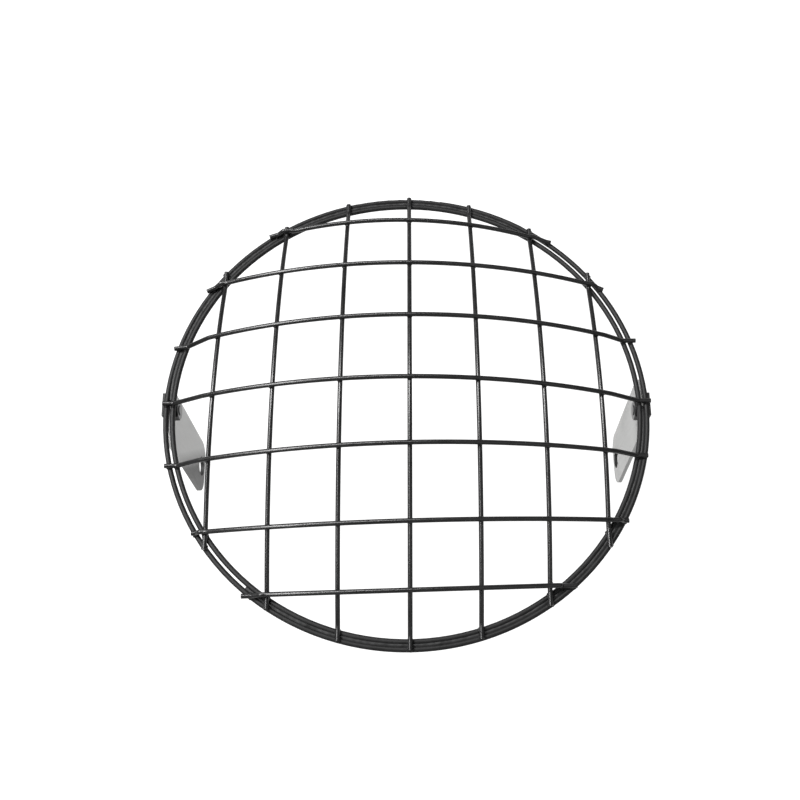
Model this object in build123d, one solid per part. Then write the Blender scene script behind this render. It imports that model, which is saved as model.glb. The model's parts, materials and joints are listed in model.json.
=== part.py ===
from build123d import *
from math import cos, hypot, radians, sin, sqrt, tan
import os

# Domed wire guard that sits over a round motorcycle headlight, in millimetres.
# The two rings of the rim lie in the plane z = 0 about the origin. +Z points out of the
# lamp, to the crown of the dome, +Y to the top of the lamp and +X along the bracket bolts.

# Rim: two rings of round wire side by side, with the gap between them filled along two arcs
RIM_OD = 190.0
RIM_WIRE = 2.0
RIM_GAP = 0.7
SEAM_SINK = 0.1          # how far the filler is melted into each ring
SEAM_HEIGHT = 1.1
SEAM_SPANS = {"rim_seam_top": (56.5, 179.0), "rim_seam_bottom": (231.0, 359.0)}

# Grille: wires up and down on the rim, and wires across that lie on top of them
GRID_WIRE = 1.8
DOME_RISE = 21.9
WELD_SINK = 0.15
DOWN_WIRES = 7
CROSS_WIRES = 7
EDGE_GAP = 0.61          # from the outermost wire to the inner ring, in pitches of the grid
END_BEND = 5.0           # bend at the foot of the dome
END_LEAD = 1.4           # the foot of the dome lies this far inside the inner ring
END_TRIM = 0.5           # the wires stop this far inside the outer edge of the rim

# The grille is laid and welded by hand, so each wire lies a little off its even place
DOWN_SHIFTS = (1.6, 0.4, 1.0, 1.5, 1.6, 1.4, -0.9)
CROSS_SHIFTS = (3.4, 2.9, 2.2, 0.8, 0.8, -1.4, 0.9)
CROSS_SLANTS = (-1.8, -0.2, 0.4, 0.3, 1.3, 1.7, 1.8)
CROSS_LEANS = (32.0, 5.0, 5.0, 2.0, -2.0, -8.0, -11.0)

# Their ends, on the -X side and the +X side: how far each turns down towards the rim, in
# degrees, and how far it runs on past the line where the wires are meant to stop
CROSS_HOOKS = {-1: (22.0, 28.0, 8.0, 0.0, 0.0, 0.0, 0.0), 1: (13.0, 24.0, 0.0, 0.0, 0.0, 0.0, 0.0)}
CROSS_OVERRUNS = {-1: (0.6, 1.9, 1.2, 0.7, 1.1, 0.7, 2.5), 1: (0.0, 1.0, 1.3, 1.0, 0.3, 1.0, 0.2)}

# Feet of the wires across, past the last wire that they lie on
FOOT_ROOM = 9.0          # with less room than this the foot is a short step down
FOOT_PAST = 2.5
FOOT_RUN = 1.6
FOOT_LEAD = 0.5
FOOT_BEND = 9.0
STEP_PAST = 1.0
STEP_BEND = 1.4
STEP_ROOM = 1.5
STEP_LEAD = 0.4
BEND_SHARE = 0.48        # share of a straight run that a bend at its end may take

# Side brackets, each a flat bar bolted to a lug on the rim
BRACKET_WIDTH = 23.0
BRACKET_THICKNESS = 1.5
BRACKET_HEEL = 4.6       # from the bolt up to the upper end
BRACKET_REACH = 51.0     # from the bolt down to the hole for the lamp
BRACKET_TOE = 6.0        # from the lamp hole down to the lower end
BRACKET_CORNER = 7.0
BRACKET_OFFSET = 2.9     # bolt hole to the centre line of the bar
BRACKET_GAP = 1.1        # between the bar and the rim above it
LAMP_HOLE = 8.4

# How each side sits, in degrees: place round the rim, swing of the bar on its bolt, and the
# lean and twist with which its lug was welded on
SIDES = {"left": (180.0, 3.9, 1.6, 2.0), "right": (0.0, -6.2, -0.8, -1.0)}

LUG_WIDTH = 9.5
LUG_THICKNESS = 1.2
LUG_BITE = 0.5           # how far the outer ring sits in the lug
LUG_STEP = 0.7           # the lug stops this far under the top of the rim

BOLT_SIZE = 4.0
BOLT_HEAD = 9.0
BOLT_HEAD_HEIGHT = 1.3
BOLT_HEAD_FLAT = 0.5
BOLT_TIP = 0.3
BOLT_CLEARANCE = 0.15
SOCKET_SIZE = 2.5
SOCKET_DEPTH = 0.8
NUT_FLATS = 7.0
NUT_HEIGHT = 2.2
NUT_CHAMFER = 30.0       # slope of the nut's rounded-off corners, in degrees
WASHER_OD = 9.0
WASHER_THICKNESS = 0.4

# Worked out from the sizes above
OUTER_RADIUS = (RIM_OD - RIM_WIRE) / 2
INNER_RADIUS = OUTER_RADIUS - RIM_WIRE - RIM_GAP
TIP_RADIUS = RIM_OD / 2 - END_TRIM
LOW_LEVEL = (RIM_WIRE + GRID_WIRE) / 2 - WELD_SINK
LAYER = GRID_WIRE - WELD_SINK
HIGH_LEVEL = LOW_LEVEL + LAYER
FOOT_RADIUS = INNER_RADIUS - END_LEAD
LOW_SPHERE = (FOOT_RADIUS**2 + DOME_RISE**2) / (2 * DOME_RISE)
HIGH_SPHERE = LOW_SPHERE + LAYER
SPHERE_Z = LOW_LEVEL + DOME_RISE - LOW_SPHERE
BOLT_Z = -(RIM_WIRE / 2 + BRACKET_GAP + BRACKET_HEEL)
LUG_X = RIM_OD / 2 - LUG_BITE
BRACKET_X = LUG_X - BRACKET_THICKNESS
WASHER_X = BRACKET_X - WASHER_THICKNESS
NUT_X = WASHER_X - NUT_HEIGHT
BOLT_HOLE = BOLT_SIZE / 2 + BOLT_CLEARANCE


def even_places(count):
    """Even places of parallel wires across the inner ring, from the most positive down."""
    pitch = 2 * INNER_RADIUS / (count - 1 + 2 * EDGE_GAP)
    return [pitch * ((count - 1) / 2 - i) for i in range(count)]


def pick(values, i):
    """Entry i of a list of small hand-set values, which repeats past its end."""
    return values[i % len(values)]


class WirePlane:
    """Plane that a grille wire is bent in, with the circle that it cuts from the dome.

    The wire runs along `along`, which is level, and `up` is the other direction of the plane.
    """

    def __init__(self, place, along, up, sphere):
        self.along = along
        self.up = up
        self.sphere = sphere
        level = Vector(place)
        height = sqrt(sphere**2 - level.length**2)
        self.origin = level + Vector(0, 0, SPHERE_Z + height)
        to_centre = Vector(0, 0, SPHERE_Z) - self.origin
        self.centre = (to_centre.dot(along), to_centre.dot(up))
        self.radius = hypot(*self.centre)

    def point(self, s, h):
        return self.origin + self.along * s + self.up * h

    def level(self, z):
        """Height in the plane of everything at height z."""
        return (z - self.origin.Z) / self.up.Z

    def on_dome(self, s):
        return self.centre[1] + sqrt(self.radius**2 - (s - self.centre[0])**2)

    def slope(self, s):
        """Direction of the dome's circle at run s, outwards from the crown."""
        side = 1 if s > self.centre[0] else -1
        down = abs(s - self.centre[0]) / self.radius
        return side * sqrt(1 - down**2), -down

    def foot_bend(self, z, side):
        """Bend from the dome to a level end: its two ends and a point half way."""
        h = self.level(z)
        away = self.radius + END_BEND
        rise = h + END_BEND - self.centre[1]
        s = self.centre[0] + side * sqrt(away**2 - rise**2)
        lean = Vector(self.centre[0] - s, -rise).normalized()
        mid = (lean + Vector(0, -1)).normalized()
        upper = (s + lean.X * END_BEND, h + END_BEND * (1 + lean.Y))
        half = (s + mid.X * END_BEND, h + END_BEND * (1 + mid.Y))
        return upper, half, (s, h)


def out_to(start, way, radius, z):
    """Point at height z where a level ray from start is at this radius from the dome's axis."""
    flat = Vector(start.X, start.Y, 0)
    back = flat.dot(way)
    return Vector(start.X, start.Y, z) + way * (sqrt(back**2 - flat.length**2 + radius**2) - back)


def bent_path(corners, radii):
    """Straight runs with rounded corners, each bend no larger than its two runs allow."""
    allowed = []
    for before, corner, after, radius in zip(corners, corners[1:], corners[2:], radii):
        turn = radians((corner - before).get_angle(after - corner))
        room = BEND_SHARE * min((corner - before).length, (after - corner).length)
        allowed.append(min(radius, room / tan(turn / 2)))
    return FilletPolyline(*corners, radius=allowed)


def foot_arc(plane, z, side):
    """Where the dome stops, the bend at its foot, and the point where that bend is level."""
    upper, half, lower = plane.foot_bend(z, side)
    level = plane.point(*lower)
    return upper, ThreePointArc(plane.point(*upper), plane.point(*half), level), level


def tip_point(start, way, z, overrun):
    """Tip of a wire whose last run goes this way, level, from start."""
    return out_to(start, way, TIP_RADIUS, z) + way * overrun


def low_end(plane, side):
    """Level end of a wire that lies on both rings of the rim."""
    upper, bend, level = foot_arc(plane, LOW_LEVEL, side)
    return upper, [bend, Line(level, tip_point(level, plane.along * side, LOW_LEVEL, 0))]


def stepped_end(plane, last, side, hook, overrun):
    """End that lies on the last wire it crosses and then steps down to the outer ring."""
    upper, bend, level = foot_arc(plane, HIGH_LEVEL, side)
    way = plane.along * side
    past = plane.point(last + side * STEP_PAST, plane.level(HIGH_LEVEL))
    brink = max(past, level + way * STEP_BEND, key=way.dot)
    out = way.rotate(Axis.Z, -side * hook)
    foot = out_to(brink, out, OUTER_RADIUS - STEP_LEAD, LOW_LEVEL)
    if out.dot(foot - brink) < STEP_ROOM:
        return upper, [bend, Line(level, tip_point(level, way, HIGH_LEVEL, overrun))]
    tip = tip_point(brink, out, LOW_LEVEL, overrun)
    return upper, [bend, bent_path([level, brink, foot, tip], (STEP_BEND, STEP_BEND))]


def ramped_end(plane, last, side, hook, overrun):
    """End that leaves the dome past its last crossing and ramps down to both rings."""
    leave = last + side * FOOT_PAST
    start = (leave, plane.on_dome(leave))
    run, fall = plane.slope(leave)
    brink = plane.point(start[0] + FOOT_RUN * run, start[1] + FOOT_RUN * fall)
    out = (plane.along * side).rotate(Axis.Z, -side * hook)
    foot = out_to(brink, out, INNER_RADIUS - FOOT_LEAD, LOW_LEVEL)
    tip = tip_point(brink, out, LOW_LEVEL, overrun)
    corners = [plane.point(*start), brink, foot, tip]
    return start, [bent_path(corners, (FOOT_BEND, END_BEND / 2))]


def wire_along(plane, left_end, right_end):
    """Round wire from its left end over the dome to its right end."""
    (left_start, left_path), (right_start, right_path) = left_end, right_end
    crown = plane.centre[0]
    dome = ThreePointArc(
        plane.point(*left_start), plane.point(crown, plane.on_dome(crown)), plane.point(*right_start)
    )
    path = Wire([e for part in (left_path, [dome], right_path) for e in Curve(part).edges()])
    return sweep(Plane(path @ 0, z_dir=path % 0) * Circle(GRID_WIRE / 2), path=path)


def down_plane(x):
    return WirePlane((x, 0, 0), Vector(0, 1, 0), Vector(0, 0, 1), LOW_SPHERE)


def down_wire(x):
    plane = down_plane(x)
    return wire_along(plane, low_end(plane, -1), low_end(plane, 1))


def cross_plane(y, slant, lean):
    along = Vector(cos(radians(slant)), sin(radians(slant)), 0)
    up = Vector(0, 0, 1).rotate(Axis((0, 0, 0), tuple(along)), -lean)
    return WirePlane((0, y, 0), along, up, HIGH_SPHERE)


def cross_wire(plane, down_places, i):
    ends = []
    for side in (-1, 1):
        way = plane.along * side
        middle = plane.point(0, plane.level(LOW_LEVEL))
        tip = way.dot(out_to(middle, way, TIP_RADIUS, LOW_LEVEL) - middle)
        runs = [x / way.X for x in down_places if 0 < x / way.X < tip]
        last = max(runs)
        maker = ramped_end if tip - last > FOOT_ROOM else stepped_end
        hook = pick(CROSS_HOOKS[side], i)
        ends.append(maker(plane, side * last, side, hook, pick(CROSS_OVERRUNS[side], i)))
    return wire_along(plane, *ends)


def rim_ring(radius):
    return Solid.make_torus(radius, RIM_WIRE / 2)


def rim_seam(start, end):
    """Filler in the gap between the rings, from one angle round to another."""
    middle = (OUTER_RADIUS + INNER_RADIUS) / 2
    section = Pos(middle, 0) * Rectangle(RIM_GAP + 2 * SEAM_SINK, SEAM_HEIGHT)
    return Rot(0, 0, start) * revolve(Plane.XZ * section, Axis.Z, end - start)


def disc(x, radius, length):
    """Disc or pin on the bolt axis, from x outwards."""
    return Plane(origin=(x, 0, BOLT_Z), z_dir=(1, 0, 0)) * Cylinder(
        radius, length, align=(Align.CENTER, Align.CENTER, Align.MIN)
    )


def lug():
    top = RIM_WIRE / 2 - LUG_STEP - BOLT_Z
    outline = Circle(LUG_WIDTH / 2) + Rectangle(LUG_WIDTH, top, align=(Align.CENTER, Align.MIN))
    face = Plane(origin=(LUG_X, 0, BOLT_Z), x_dir=(0, 1, 0), z_dir=(1, 0, 0)) * outline
    return extrude(face, LUG_THICKNESS) - disc(LUG_X, BOLT_HOLE, LUG_THICKNESS)


def bracket(swing):
    """Flat bar with a bolt hole and a lamp hole, swung on the bolt."""
    bar = Pos(BRACKET_OFFSET, BRACKET_HEEL) * RectangleRounded(
        BRACKET_WIDTH, BRACKET_HEEL + BRACKET_REACH + BRACKET_TOE, BRACKET_CORNER,
        align=(Align.CENTER, Align.MAX),
    )
    bar -= Circle(BOLT_HOLE)
    bar -= Pos(BRACKET_OFFSET, -BRACKET_REACH) * Circle(LAMP_HOLE / 2)
    face = Plane(origin=(BRACKET_X, 0, BOLT_Z), x_dir=(0, 1, 0), z_dir=(1, 0, 0))
    return face.location * Rot(0, 0, swing) * extrude(bar, BRACKET_THICKNESS)


def bolt():
    head_x = LUG_X + LUG_THICKNESS
    sag = BOLT_HEAD_HEIGHT - BOLT_HEAD_FLAT
    crown = Line((0, BOLT_HEAD_HEIGHT), (0, 0)) + Line((0, 0), (BOLT_HEAD / 2, 0))
    crown += Line((BOLT_HEAD / 2, 0), (BOLT_HEAD / 2, BOLT_HEAD_FLAT))
    radius = (sag**2 + (BOLT_HEAD / 2)**2) / (2 * sag)
    crown += RadiusArc((BOLT_HEAD / 2, BOLT_HEAD_FLAT), (0, BOLT_HEAD_HEIGHT), -radius)
    head = revolve(Plane.XZ * make_face(crown), Axis.Z)
    socket = Pos(0, 0, BOLT_HEAD_HEIGHT - SOCKET_DEPTH) * extrude(
        RegularPolygon(SOCKET_SIZE / 2, 6, major_radius=False), BOLT_HEAD_HEIGHT
    )
    tip = NUT_X - BOLT_TIP
    shank = disc(tip, BOLT_SIZE / 2, head_x - tip)
    return Plane(origin=(head_x, 0, BOLT_Z), z_dir=(1, 0, 0)) * (head - socket) + shank


def nut():
    blank = extrude(RegularPolygon(NUT_FLATS / 2, 6, major_radius=False), NUT_HEIGHT)
    cone = Cone(
        NUT_FLATS / 2, NUT_FLATS / 2 + NUT_HEIGHT / tan(radians(NUT_CHAMFER)), NUT_HEIGHT,
        align=(Align.CENTER, Align.CENTER, Align.MIN),
    )
    body = (blank & cone) - Cylinder(BOLT_SIZE / 2, 2 * NUT_HEIGHT)
    return Plane(origin=(NUT_X, 0, BOLT_Z), z_dir=(1, 0, 0)) * body


def washer():
    return disc(WASHER_X, WASHER_OD / 2, WASHER_THICKNESS) - disc(
        WASHER_X, BOLT_HOLE, WASHER_THICKNESS
    )


def side_pieces(name, turn, swing, lean, twist):
    """Lug, bracket and fastening of one side, built on +X and turned to their place."""
    edge = Pos(RIM_OD / 2, 0, 0)
    place = Rot(0, 0, turn) * edge * Rot(0, 0, twist) * Rot(0, lean, 0) * edge.inverse()
    pieces = {
        "side_bracket": bracket(swing), "side_bolt": bolt(), "side_nut": nut(),
        "side_washer": washer(),
    }
    placed = {f"{piece}_{name}": place * solid for piece, solid in pieces.items()}
    return placed | {f"rim_lug_{name}": place * lug() - rim_ring(OUTER_RADIUS)}


def grille():
    """Wires of the grille. The lower ones are notched where the upper ones are welded in."""
    down_places = [x + pick(DOWN_SHIFTS, i) for i, x in enumerate(reversed(even_places(DOWN_WIRES)))]
    cross = {}
    for i, y in enumerate(even_places(CROSS_WIRES)):
        plane = cross_plane(y + pick(CROSS_SHIFTS, i), pick(CROSS_SLANTS, i), pick(CROSS_LEANS, i))
        cross[f"cross_wire_{i + 1}"] = cross_wire(plane, down_places, i)
    down = {f"down_wire_{i}": down_wire(x) - list(cross.values()) for i, x in enumerate(down_places, 1)}
    return cross, down


def rim(wires):
    """Rings, notched for the wires and for the filler between them."""
    rings = {"rim_ring_outer": rim_ring(OUTER_RADIUS), "rim_ring_inner": rim_ring(INNER_RADIUS)}
    seams = {name: rim_seam(*span) for name, span in SEAM_SPANS.items()}
    welded = wires + list(seams.values())
    return {name: ring - welded for name, ring in rings.items()} | seams


def main():
    os.makedirs("parts", exist_ok=True)
    cross, down = grille()
    pieces = rim(list(cross.values()) + list(down.values())) | down | cross
    for name, place in SIDES.items():
        pieces |= side_pieces(name, *place)
    for name, shape in pieces.items():
        solids = shape.solids()
        export_step(solids[0] if len(solids) == 1 else Compound(solids), f"parts/{name}.step")


main()
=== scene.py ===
"""Motorcycle headlight guard: a domed wire grille in satin black on two zinc brackets."""
import bpy
import bmesh
import json
from math import cos, pi, radians, sin
from mathutils import Matrix, Vector, noise
from mathutils.bvhtree import BVHTree


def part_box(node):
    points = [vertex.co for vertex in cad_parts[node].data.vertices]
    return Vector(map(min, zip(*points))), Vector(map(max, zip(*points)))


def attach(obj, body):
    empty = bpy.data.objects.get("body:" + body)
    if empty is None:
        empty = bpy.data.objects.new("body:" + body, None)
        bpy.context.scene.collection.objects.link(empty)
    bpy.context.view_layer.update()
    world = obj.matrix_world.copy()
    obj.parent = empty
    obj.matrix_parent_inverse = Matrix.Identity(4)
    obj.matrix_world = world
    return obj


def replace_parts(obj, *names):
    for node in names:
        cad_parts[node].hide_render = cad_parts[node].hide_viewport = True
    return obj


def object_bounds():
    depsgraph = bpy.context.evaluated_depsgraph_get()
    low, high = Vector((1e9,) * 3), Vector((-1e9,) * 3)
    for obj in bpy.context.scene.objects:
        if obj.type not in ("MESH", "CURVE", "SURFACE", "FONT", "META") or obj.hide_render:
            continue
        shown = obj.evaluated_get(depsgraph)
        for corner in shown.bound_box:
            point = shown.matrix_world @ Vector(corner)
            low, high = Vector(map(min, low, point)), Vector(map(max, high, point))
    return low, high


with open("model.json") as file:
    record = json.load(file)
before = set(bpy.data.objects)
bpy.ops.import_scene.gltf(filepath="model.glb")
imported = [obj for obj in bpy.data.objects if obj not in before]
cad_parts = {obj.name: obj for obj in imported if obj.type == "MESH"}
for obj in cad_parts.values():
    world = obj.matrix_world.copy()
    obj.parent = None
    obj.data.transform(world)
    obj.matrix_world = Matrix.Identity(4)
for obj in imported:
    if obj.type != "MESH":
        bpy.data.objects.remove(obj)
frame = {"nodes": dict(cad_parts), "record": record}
cad_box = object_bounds()
nodes = frame["nodes"]
MM = 0.001
X_WAY = Vector((1, 0, 0))
Y_WAY = Vector((0, 1, 0))
Z_WAY = Vector((0, 0, 1))


def named(*starts):
    return sorted(name for name in nodes if name.startswith(starts))


# Build of the grille, as the frame has it
GRID_WIRE = 1.8 * MM
RIM_WIRE = 2.0 * MM
DOME_CENTRE = Vector((0, 0, -0.175))
CROSS = named("cross_wire_")
DOWN = named("down_wire_")
RINGS = ["rim_ring_outer", "rim_ring_inner"]
SEAMS = named("rim_seam_")
LUGS = named("rim_lug_")
BRACKETS = named("side_bracket_")
FASTENERS = named("side_nut_", "side_bolt_", "side_washer_")

# Rounding of the sharp edges
BRACKET_EDGE = 0.25 * MM
LUG_EDGE = 0.15 * MM
FASTENER_EDGE = 0.08 * MM
SHARP = radians(40)

# Painted shade on the brackets: a darkened bore wall, and painted light and shade in steps along
# each bracket's length
# painted shade: the bore wall, within this radius of the hole's axis, is darkened to this grey
BORE_SHADE_RADIUS = 4.32 * MM
BORE_PAINTED_SHADE = 0.012
PAINTED_SHADE_WAY = (0, -0.924, -0.383)
PAINTED_SHADE_STEPS = (0.0225, 0.0245, 0.042)
# painted light and shade: the left bracket's upper end lightened, its lower part darkened; the
# right bracket darkened all over
LEFT_PAINTED_SHADES = (1.14, 0.28, 0.46)
RIGHT_PAINTED_SHADES = (0.68, 0.68, 0.68)

# Weld metal, its three radii in diameters of a grille wire: along the wire, across it, up
CONTACT = 0.03 * MM      # how near two meshes lie where they are welded
GRID_WELD = (0.60, 0.60, 0.33)
GRID_WELD_SPREAD = 0.05
RIM_WELD = (0.62, 0.72, 0.36)
LUG_WELD = (1.5 * MM, 0.7 * MM, 0.6 * MM)
GRID_WELD_SKIN = 0.25    # unevenness, in shares of the radius
WELD_SKIN = 0.3
SKIN_SCALE = 1.7

# Filler between the rings
SEAM_STEP = 0.5 * MM     # between two rows of the bead's mesh
SEAM_ROUND = 12          # points round the bead
SEAM_DEPTH = 0.15 * MM   # below the plain strip of the frame
SEAM_CROWN = 0.36        # height over the rim's middle plane, in diameters of a rim wire
SEAM_FILL = 0.72         # share of the valley that the bead fills
SEAM_START = 0.25        # height of the first row, in shares of the full height
SEAM_RISE = 0.04         # and how much each row adds to it
SEAM_DRIFT = 0.12 * MM   # sideways wander of the bead
WIDTH_CHANGE = 0.15
RIPPLE_HEIGHT = 0.05
RIPPLE_TURN = 1.1        # from row to row
LUMP_HEIGHT = 0.45

# Floor and lights
FLOOR_SIZE = 4.0
FLOOR_DROP = 0.2 * MM    # under the lowest point of the guard
FLOOR_GREY = 0.10
FLOOR_GLOW = 1.0         # the photograph's ground is white all over
WORLD_GLOW = 0.20
AREA_LIGHTS = {          # place, width along X, depth and power
    "key": ((-0.42, 0.38, 0.86), 0.90, 0.16, 22.0),
    "side": ((-0.60, -0.05, 0.80), 0.16, 0.90, 14.0),
    "fill": ((0.60, -0.50, 0.90), 0.80, 0.80, 2.0),
}

# Camera, fitted to the rim and the wires of the photograph
PHOTO_SIZE = 800.0
PHOTO_FOCAL = 950.967
PHOTO_TILT = 22.5287
PHOTO_YAW = -0.44865
PHOTO_ROLL = -0.0931
PHOTO_OFFSET = Vector((2.2753, -1.66516, 0)) * MM
PHOTO_DISTANCE = 373.0516 * MM
SENSOR = 36.0
CLIP = (0.01, 20)


# Materials

class Shader:
    """A material's node tree with short ways to add and link nodes."""

    def __init__(self, name):
        self.material = bpy.data.materials.new(name)
        self.material.use_nodes = True
        self.nodes = self.material.node_tree.nodes
        self.links = self.material.node_tree.links
        self.surface = self.nodes["Principled BSDF"]
        self.place = self.nodes.new("ShaderNodeTexCoord").outputs["Object"]

    def link(self, output, target):
        self.links.new(output, target)

    def set(self, **values):
        for name, value in values.items():
            self.surface.inputs[name.replace("_", " ")].default_value = value

    def noise(self, scale, detail, rough, stretch=None):
        node = self.nodes.new("ShaderNodeTexNoise")
        node.inputs["Scale"].default_value = scale
        node.inputs["Detail"].default_value = detail
        node.inputs["Roughness"].default_value = rough
        place = self.place
        if stretch:
            mapping = self.nodes.new("ShaderNodeMapping")
            mapping.inputs["Scale"].default_value = stretch
            self.link(place, mapping.inputs["Vector"])
            place = mapping.outputs["Vector"]
        self.link(place, node.inputs["Vector"])
        return node.outputs["Fac"]

    def ramp(self, value, *stops):
        """Colour by value, from stops that each have a place and a grey or a colour."""
        node = self.nodes.new("ShaderNodeValToRGB")
        ramp = node.color_ramp
        while len(ramp.elements) < len(stops):
            ramp.elements.new(0.5)
        for element, (place, colour) in zip(ramp.elements, stops):
            element.position = place
            element.color = (*colour, 1.0) if isinstance(colour, tuple) else (colour,) * 3 + (1.0,)
        self.link(value, node.inputs["Fac"])
        return node.outputs["Color"]

    def mix(self, share, first, second, blend="MIX"):
        node = self.nodes.new("ShaderNodeMix")
        node.data_type = "RGBA"
        node.blend_type = blend
        for value, place in ((share, 0), (first, 6), (second, 7)):
            if isinstance(value, bpy.types.NodeSocket):
                self.link(value, node.inputs[place])
            else:
                node.inputs[place].default_value = value
        return node.outputs[2]

    def bump(self, *layers):
        """Stacked bumps, each a height with its strength and depth in metres."""
        normal = None
        for height, strength, depth in layers:
            node = self.nodes.new("ShaderNodeBump")
            node.inputs["Strength"].default_value = strength
            node.inputs["Distance"].default_value = depth
            self.link(height, node.inputs["Height"])
            if normal:
                self.link(normal, node.inputs["Normal"])
            normal = node.outputs["Normal"]
        self.link(normal, self.surface.inputs["Normal"])

    def vector(self, operation, first, second=None, result="Vector"):
        node = self.nodes.new("ShaderNodeVectorMath")
        node.operation = operation
        self.link(first, node.inputs[0])
        if second is not None:
            node.inputs[1].default_value = second
        return node.outputs[result]

    def along(self, way):
        """Distance in metres from the origin along a direction."""
        return self.vector("DOT_PRODUCT", self.place, way, result="Value")

    def near_axis(self, point, radius):
        """1 within a radius of a line through a point along X, 0 outside it."""
        offset = self.vector("SUBTRACT", self.place, point)
        flat = self.vector("MULTIPLY", offset, (0, 1, 1))
        inside = self.nodes.new("ShaderNodeMath")
        inside.operation = "LESS_THAN"
        inside.inputs[1].default_value = radius
        self.link(self.vector("LENGTH", flat, result="Value"), inside.inputs[0])
        return inside.outputs["Value"]

    def edges(self, low, high):
        """Share from 0 to 1 on edges and thin places, from the curvature of the mesh."""
        geometry = self.nodes.new("ShaderNodeNewGeometry")
        return self.ramp(geometry.outputs["Pointiness"], (low, 0.0), (high, 1.0))


def grey(value):
    return (value, value, value, 1)


def black_paint(name, base=0.006, rough=(0.22, 0.34), gloss=0.30):
    """Satin black paint, sprayed over wire: soft unevenness, fine orange peel and dust."""
    s = Shader(name)
    cloud = s.noise(180, 5, 0.6)
    lumps = s.noise(180, 1, 0.5)
    fine = s.noise(2600, 1, 0.5)
    dust = s.noise(5200, 2, 0.5)
    tone = s.ramp(cloud, (0.30, base * 0.75), (0.72, (base * 1.5, base * 1.5, base * 1.55)))
    specks = s.ramp(dust, (0.70, 0.0), (0.80, 1.0))
    s.link(s.mix(specks, tone, (0.02, 0.02, 0.0205, 1)), s.surface.inputs["Base Color"])
    s.link(s.ramp(cloud, (0.25, rough[0]), (0.8, rough[1])), s.surface.inputs["Roughness"])
    s.bump((fine, 0.04, 0.05 * MM), (lumps, 0.12, 0.3 * MM))
    s.set(Specular_IOR_Level=gloss)
    return s.material


def zinc_plate(name, hole=None, shades=None):
    """Dull zinc coating on rolled bar: soft mottling, fine rolling lines and rubbed edges.

    The wall of the hole is darkened as painted shade. The shades are painted light and shade that
    lighten or darken the zinc at the upper end, at the step below it and at the lower end.
    """
    s = Shader(name)
    cloud = s.noise(95, 6, 0.62)
    crystal = s.noise(700, 3, 0.6)
    lines = s.noise(240, 4, 0.6, stretch=(6.0, 6.0, 0.35))
    tone = s.ramp(
        cloud, (0.28, (0.185, 0.185, 0.188)), (0.5, 0.205), (0.78, (0.235, 0.235, 0.232))
    )
    dull = s.mix(s.ramp(crystal, (0.45, 0.0), (0.7, 0.35)), tone, (0.17, 0.17, 0.174, 1))
    coat_and_painted_shade = s.mix(s.edges(0.52, 0.60), dull, (0.40, 0.40, 0.395, 1))
    if hole:
        # painted light and shade: the zinc lightened or darkened in steps along the bracket's
        # length
        shade = s.ramp(s.along(PAINTED_SHADE_WAY), *zip(PAINTED_SHADE_STEPS, shades))
        shaded = s.mix(1.0, coat_and_painted_shade, shade, "MULTIPLY")
        # painted shade: the bore wall darkened
        coat_and_painted_shade = s.mix(s.near_axis(hole, BORE_SHADE_RADIUS), shaded, grey(BORE_PAINTED_SHADE))
    s.link(coat_and_painted_shade, s.surface.inputs["Base Color"])
    s.link(s.ramp(lines, (0.3, 0.55), (0.7, 0.70)), s.surface.inputs["Roughness"])
    s.bump((lines, 0.08, 0.06 * MM), (crystal, 0.12, 0.05 * MM))
    s.set(Metallic=0.25, Specular_IOR_Level=0.3)
    return s.material


MATERIALS = {
    "black_paint": black_paint("satin_black_paint"),
    "bracket_zinc": zinc_plate("dull_zinc"),
    "black_fastener": black_paint("black_fastener_finish", rough=(0.24, 0.38)),
}
HOLES = {m["name"]: Vector(m["pos_m"]) for m in frame["record"]["mounts"] if m["kind"] == "bore"}
# bracket materials with painted light and shade along their length and a bore wall darkened as
# painted shade
BRACKET_ZINC_PAINTED_SHADE = {
    "side_bracket_left": zinc_plate("dull_zinc_left_painted_shade", HOLES["lamp_hole_left"], LEFT_PAINTED_SHADES),
    "side_bracket_right": zinc_plate("dull_zinc_right_painted_shade", HOLES["lamp_hole_right"], RIGHT_PAINTED_SHADES),
}
RIM_PAINT = black_paint("rim_paint", rough=(0.46, 0.62), gloss=0.16)
WELD_PAINT = black_paint("weld_paint", base=0.007, rough=(0.40, 0.66), gloss=0.18)


# Pieces of the frame: materials, softened edges

def dress_nodes():
    for entry in frame["record"]["subparts"]:
        name = entry["node"]
        material = MATERIALS[entry["material_slot"]]
        if name.startswith("rim_"):
            material = RIM_PAINT
        nodes[name].data.materials.clear()
        nodes[name].data.materials.append(BRACKET_ZINC_PAINTED_SHADE.get(name, material))


def soften(names, width, segments=2):
    """Rounds the sharp edges of stamped or cut pieces of the frame a little."""
    for name in names:
        bevel = nodes[name].modifiers.new("soft_edges", "BEVEL")
        bevel.width = width
        bevel.segments = segments
        bevel.limit_method = "ANGLE"
        bevel.angle_limit = SHARP
        bevel.harden_normals = True


# Welds

def add_weld(name, bm):
    """New piece of weld metal, painted over with the rest."""
    mesh = bpy.data.meshes.new(name)
    bm.to_mesh(mesh)
    bm.free()
    obj = bpy.data.objects.new(name, mesh)
    bpy.context.scene.collection.objects.link(obj)
    for polygon in mesh.polygons:
        polygon.use_smooth = True
    mesh.materials.append(WELD_PAINT)
    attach(obj, "root")
    return obj


def bead(bm, centre, normal, along, radii, seed, skin):
    """Lump of weld metal: a flattened ball with an uneven skin."""
    side = normal.cross(along).normalized()
    turn = Matrix((side.cross(normal).normalized(), side, normal)).transposed().to_4x4()
    made = bmesh.ops.create_icosphere(bm, subdivisions=3, radius=1.0)
    for vert in made["verts"]:
        swell = 1 + skin * noise.noise(vert.co * SKIN_SCALE + Vector((seed * 3.1, seed * 1.3, 0)))
        local = Vector([c * radius for c, radius in zip(vert.co, radii)]) * swell
        vert.co = centre + turn @ local


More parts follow.
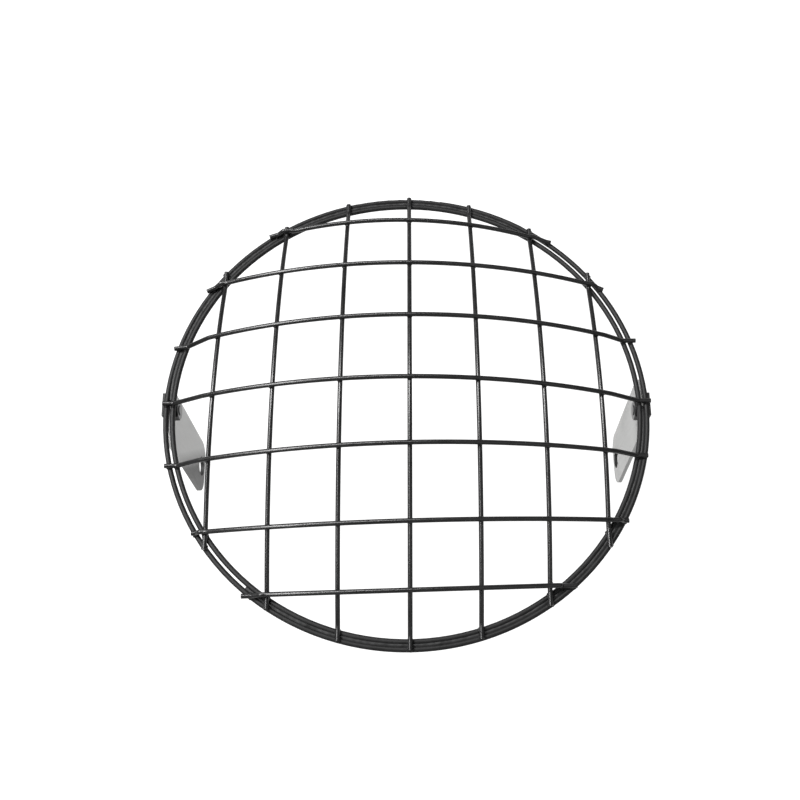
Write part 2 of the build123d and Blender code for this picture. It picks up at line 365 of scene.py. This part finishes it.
def touching(lower, upper):
    """Middles of the places where the mesh of one node lies against another."""
    tree = BVHTree.FromObject(nodes[upper], bpy.context.evaluated_depsgraph_get())
    clusters = []
    for vert in nodes[lower].data.vertices:
        if tree.find_nearest(vert.co, CONTACT)[0] is None:
            continue
        near = next((c for c in clusters if (c[0] - vert.co).length < 3 * GRID_WIRE), None)
        if near:
            near.append(vert.co.copy())
        else:
            clusters.append([vert.co.copy()])
    return [sum(c, Vector()) / len(c) for c in clusters]


def grille_welds():
    """A flat lump of squeezed metal where each wire across lies on a wire up and down."""
    bm = bmesh.new()
    centres = [c for upper in CROSS for lower in DOWN for c in touching(lower, upper)]
    for i, centre in enumerate(centres):
        change = GRID_WELD_SPREAD * sin(7.3 * i)
        along, across, up = GRID_WELD
        radii = (GRID_WIRE * (along + change), GRID_WIRE * (across + change), GRID_WIRE * up)
        normal = (centre - DOME_CENTRE).normalized()
        bead(bm, centre, normal, X_WAY, radii, i, GRID_WELD_SKIN)
    add_weld("grille_welds", bm)


def rim_welds():
    """Lumps where the wires lie on the two rings, longer along the wire."""
    bm = bmesh.new()
    radii = [GRID_WIRE * share for share in RIM_WELD]
    count = 0
    for ring in RINGS:
        for upper in CROSS + DOWN:
            for centre in touching(ring, upper):
                bead(bm, centre, Z_WAY, X_WAY if upper in CROSS else Y_WAY, radii, count, WELD_SKIN)
                count += 1
    add_weld("rim_welds", bm)


def lug_welds():
    """Beads in the corner between the outer ring and each lug."""
    bm = bmesh.new()
    centres = [c for lug in LUGS for c in touching("rim_ring_outer", lug)]
    for i, centre in enumerate(centres):
        bead(bm, centre, Z_WAY, Y_WAY, LUG_WELD, i, WELD_SKIN)
    add_weld("lug_welds", bm)


# Filler between the rings

def ring_radius(node):
    """Radius of the middle line of a ring of the rim."""
    low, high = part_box(node)
    return (high.x - low.x) / 2 - RIM_WIRE / 2


def arc_of(node):
    """First and last angle of a node that runs part of the way round the rim."""
    angles = sorted(-X_WAY.xy.angle_signed(v.co.xy) % (2 * pi) for v in nodes[node].data.vertices)
    angles.append(angles[0] + 2 * pi)
    _, before, after = max((b - a, a, b) for a, b in zip(angles, angles[1:]))
    return after, before + 2 * pi


def seam_row(bm, i, last, angle, low, middle, half_gap):
    """One ring of points round the bead, with its ripple, its lumps and its drift."""
    taper = min(1.0, SEAM_START + SEAM_RISE * min(i, last - i))
    sway = noise.noise(Vector((i * 0.045, 3, 0)))
    ripple = RIPPLE_HEIGHT * sin(i * RIPPLE_TURN + 3 * sway)
    lump = LUMP_HEIGHT * noise.noise(Vector((i * 0.09, 0, 5)))
    top = RIM_WIRE * SEAM_CROWN * taper * (1 + ripple + lump)
    half = half_gap * SEAM_FILL * (1 + WIDTH_CHANGE * sway)
    row = []
    for k in range(SEAM_ROUND):
        turn = 2 * pi * k / SEAM_ROUND
        radius = middle + half * cos(turn) + SEAM_DRIFT * sway
        z = (top + low) / 2 + (top - low) / 2 * sin(turn)
        row.append(bm.verts.new((radius * cos(angle), radius * sin(angle), z)))
    return row


def seam_bead(node):
    """Filler laid in the valley between the rings, with the ripples of a hand weld."""
    start, end = arc_of(node)
    outer = ring_radius("rim_ring_outer")
    inner = ring_radius("rim_ring_inner")
    middle = (outer + inner) / 2
    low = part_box(node)[0].z - SEAM_DEPTH
    steps = int((end - start) * middle / SEAM_STEP)
    bm = bmesh.new()
    rows = []
    for i in range(steps + 1):
        angle = start + (end - start) * i / steps
        rows.append(seam_row(bm, i, steps, angle, low, middle, (outer - inner) / 2))
    for first, second in zip(rows, rows[1:]):
        for k in range(SEAM_ROUND):
            n = (k + 1) % SEAM_ROUND
            bm.faces.new((first[k], second[k], second[n], first[n]))
    bm.faces.new(rows[0])
    bm.faces.new(list(reversed(rows[-1])))
    bmesh.ops.recalc_face_normals(bm, faces=bm.faces)
    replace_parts(add_weld(node + "_bead", bm), node)


dress_nodes()
soften(BRACKETS, BRACKET_EDGE, 3)
soften(LUGS, LUG_EDGE)
soften(FASTENERS, FASTENER_EDGE)
grille_welds()
rim_welds()
lug_welds()
for seam in SEAMS:
    seam_bead(seam)


# Floor, lights and camera

def floor():
    bm = bmesh.new()
    bmesh.ops.create_grid(bm, x_segments=1, y_segments=1, size=FLOOR_SIZE)
    mesh = bpy.data.meshes.new("floor")
    bm.to_mesh(mesh)
    bm.free()
    obj = bpy.data.objects.new("floor", mesh)
    obj.location.z = cad_box[0].z - FLOOR_DROP
    bpy.context.scene.collection.objects.link(obj)
    s = Shader("pale_floor")
    s.set(Base_Color=grey(FLOOR_GREY), Roughness=0.9, Specular_IOR_Level=0.0)
    s.set(Emission_Color=grey(1), Emission_Strength=FLOOR_GLOW)
    mesh.materials.append(s.material)


def area_light(name, place, width, depth, power):
    """Soft box that faces the guard, with its width along X."""
    light = bpy.data.lights.new(name, "AREA")
    light.shape = "RECTANGLE"
    light.size = width
    light.size_y = depth
    light.energy = power
    obj = bpy.data.objects.new(name, light)
    bpy.context.scene.collection.objects.link(obj)
    back = Vector(place).normalized()
    across = (X_WAY - back * back.x).normalized()
    turn = Matrix((across, back.cross(across), back)).transposed()
    obj.matrix_world = Matrix.Translation(place) @ turn.to_4x4()


def studio():
    world = bpy.data.worlds.new("studio")
    world.use_nodes = True
    background = world.node_tree.nodes["Background"]
    background.inputs["Color"].default_value = grey(1)
    background.inputs["Strength"].default_value = WORLD_GLOW
    bpy.context.scene.world = world
    bpy.context.scene.view_settings.view_transform = "Standard"
    for name, values in AREA_LIGHTS.items():
        area_light(name, *values)


def photo_camera():
    """The photograph's camera. Its world turn is the inverse of the fitted turn of the guard."""
    turn = (
        Matrix.Rotation(-radians(PHOTO_TILT), 3, "X")
        @ Matrix.Rotation(radians(PHOTO_YAW), 3, "Y")
        @ Matrix.Rotation(radians(PHOTO_ROLL), 3, "Z")
    )
    data = bpy.data.cameras.new("photo_camera")
    data.sensor_width = SENSOR
    data.lens = PHOTO_FOCAL / PHOTO_SIZE * SENSOR
    data.clip_start, data.clip_end = CLIP
    camera = bpy.data.objects.new("photo_camera", data)
    bpy.context.scene.collection.objects.link(camera)
    back = turn.transposed()
    place = back @ (Vector((0, 0, PHOTO_DISTANCE)) - PHOTO_OFFSET)
    camera.matrix_world = Matrix.Translation(place) @ back.to_4x4()
    bpy.context.scene.camera = camera


floor()
studio()
photo_camera()
